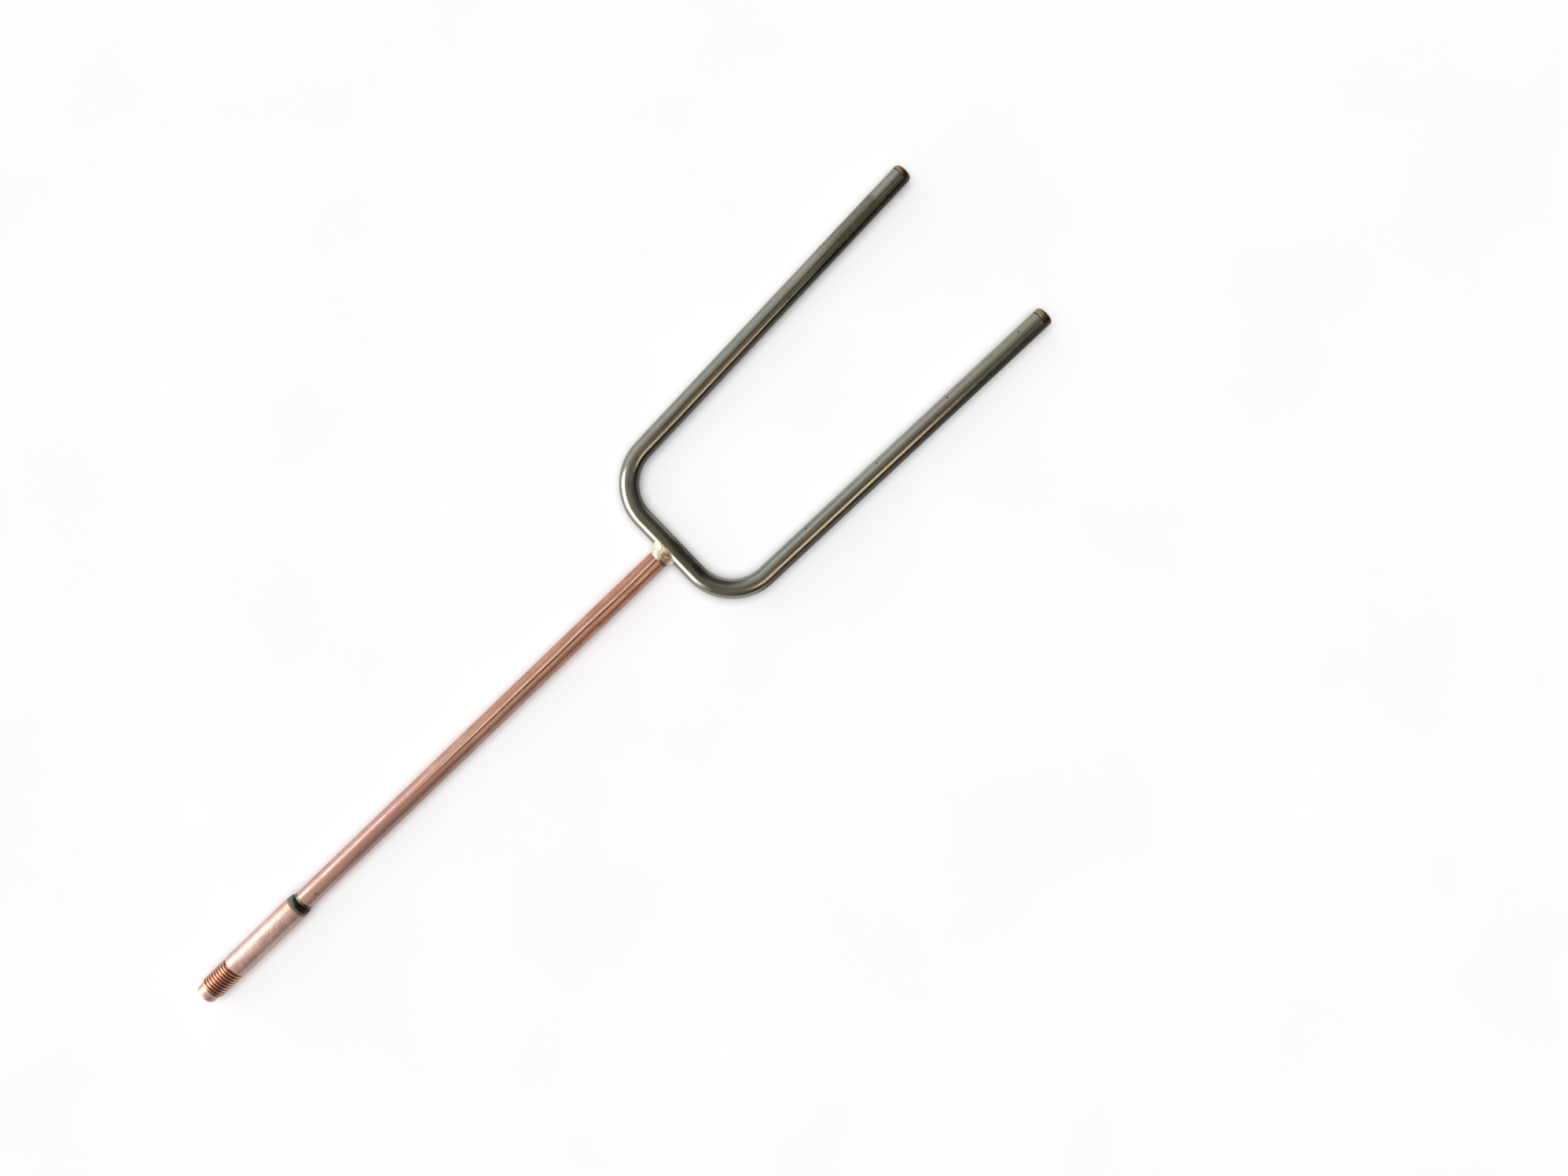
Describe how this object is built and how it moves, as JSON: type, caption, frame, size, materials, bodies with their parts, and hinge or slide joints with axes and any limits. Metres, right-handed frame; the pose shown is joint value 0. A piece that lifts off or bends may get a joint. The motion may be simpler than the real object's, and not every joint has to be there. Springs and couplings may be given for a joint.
{
  "type": "fork burner tip",
  "caption": "Hollow fork of bent steel tube with flame ports along its tines, brazed to a copper stem and a threaded copper base that screws into a gas torch.",
  "frame": {"origin": "on the stem's axis, in the shoulder plane where the base's thread zone meets its round body", "axes": "+Y along the stem from the base to the fork, +X to the right tine, +Z out of the fork's plane on the side that the ports face"},
  "size_m": [0.0692, 0.3365, 0.008],
  "materials": {
    "copper_base": "turned copper, lightly tarnished",
    "copper_tube": "drawn copper tube, mottled tarnish",
    "stainless_tube": "polished stainless with slight heat stain",
    "brass_plug": "smooth brass",
    "gold_braze": "dull olive-gold braze",
    "silver_braze": "shiny pale silver braze, lumpy",
    "flux_glass": "glassy green-black flux residue"
  },
  "bodies": {
    "root": {"nozzle_base": "copper_base", "stem_tube": "copper_tube", "fork_tube": "stainless_tube", "left_end_plug": "brass_plug", "right_end_plug": "brass_plug", "left_plug_braze": "gold_braze", "right_plug_braze": "gold_braze", "socket_braze": "gold_braze", "tee_braze": "silver_braze", "flux_ring": "flux_glass"}
  },
  "joints": []
}
